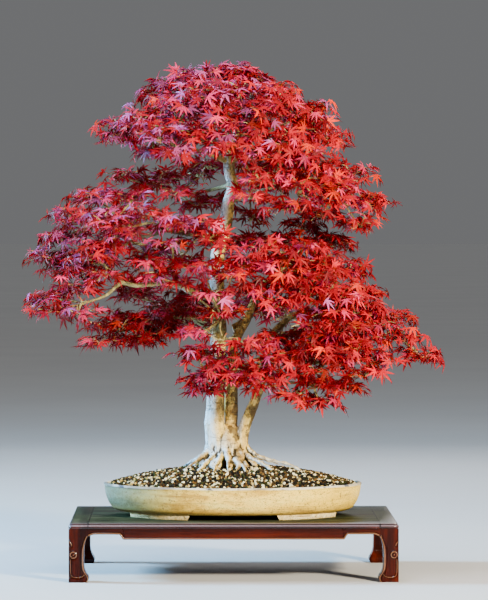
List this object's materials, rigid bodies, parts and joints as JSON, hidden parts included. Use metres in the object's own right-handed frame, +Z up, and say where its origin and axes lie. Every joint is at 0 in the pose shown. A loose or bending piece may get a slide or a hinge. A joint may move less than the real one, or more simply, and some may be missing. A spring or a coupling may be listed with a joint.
{
  "type": "japanese maple bonsai",
  "caption": "Japanese maple bonsai in red autumn leaf, three stems from one root base, in a shallow oval glazed tray on a low hardwood stand with scrolled legs.",
  "frame": {"origin": "middle of the whole object's footprint, on the surface that the stand's feet rest on", "axes": "+X to the right as seen from the front, +Y towards the back, +Z up"},
  "size_m": [0.7866, 0.4026, 0.9576],
  "materials": {
    "stand_top": "worn satin varnish over dark straight-grained hardwood",
    "stand_frame": "polished red-brown hardwood",
    "pot_glaze": "cream glaze with fine speckle, slightly worn at the rim",
    "drain_screen": "moulded",
    "soil": "coarse mixed grit, pumice and fired clay grains",
    "bark": "smooth pale bark with brown blotches, living wood",
    "leaf_crimson": "living leaf, soft sheen",
    "leaf_deep_crimson": "living leaf, soft sheen",
    "leaf_orange_red": "living leaf, soft sheen"
  },
  "bodies": {
    "root": {"stand_top_panel": "stand_top", "stand_top_end_left": "stand_top", "stand_top_end_right": "stand_top", "stand_apron_front": "stand_frame", "stand_apron_back": "stand_frame", "stand_apron_left": "stand_frame", "stand_apron_right": "stand_frame", "stand_leg_front_left": "stand_frame", "stand_leg_front_right": "stand_frame", "stand_leg_back_left": "stand_frame", "stand_leg_back_right": "stand_frame", "pot": "pot_glaze", "drain_screen_left": "drain_screen", "drain_screen_right": "drain_screen", "soil": "soil", "tree": "bark", "spray_crown_apex": "leaf_crimson", "spray_crown_left": "leaf_crimson", "spray_crown_left_front": "leaf_crimson", "spray_crown_front": "leaf_crimson", "spray_crown_front_right": "leaf_orange_red", "spray_crown_right": "leaf_orange_red", "spray_crown_right_front": "leaf_orange_red", "spray_crown_back": "leaf_deep_crimson", "spray_crown_back_left": "leaf_deep_crimson", "spray_crown_back_right": "leaf_deep_crimson", "spray_upper_right_far": "leaf_orange_red", "spray_upper_right_front": "leaf_orange_red", "spray_upper_right_inner": "leaf_orange_red", "spray_upper_right_back": "leaf_deep_crimson", "spray_upper_back_inner": "leaf_deep_crimson", "spray_upper_left_back": "leaf_deep_crimson", "spray_left_top": "leaf_crimson", "spray_left_far": "leaf_crimson", "spray_left_front": "leaf_crimson", "spray_left_middle": "leaf_crimson", "spray_left_low": "leaf_crimson", "spray_left_trunk": "leaf_crimson", "spray_left_inner": "leaf_crimson", "spray_left_back": "leaf_deep_crimson", "spray_shade_left": "leaf_deep_crimson", "spray_shade_low": "leaf_deep_crimson", "spray_trunk_front": "leaf_crimson", "spray_foot_left": "leaf_crimson", "spray_back_foot_left": "leaf_deep_crimson", "spray_right_shade": "leaf_deep_crimson", "spray_right_shoulder_front": "leaf_orange_red", "spray_right_shoulder_far": "leaf_orange_red", "spray_right_middle": "leaf_orange_red", "spray_right_front": "leaf_orange_red", "spray_right_far": "leaf_orange_red", "spray_right_tier": "leaf_orange_red", "spray_right_low": "leaf_orange_red", "spray_centre_low": "leaf_crimson", "spray_foot_right": "leaf_orange_red", "spray_back_right": "leaf_deep_crimson", "spray_back_foot_right": "leaf_deep_crimson"}
  },
  "joints": []
}
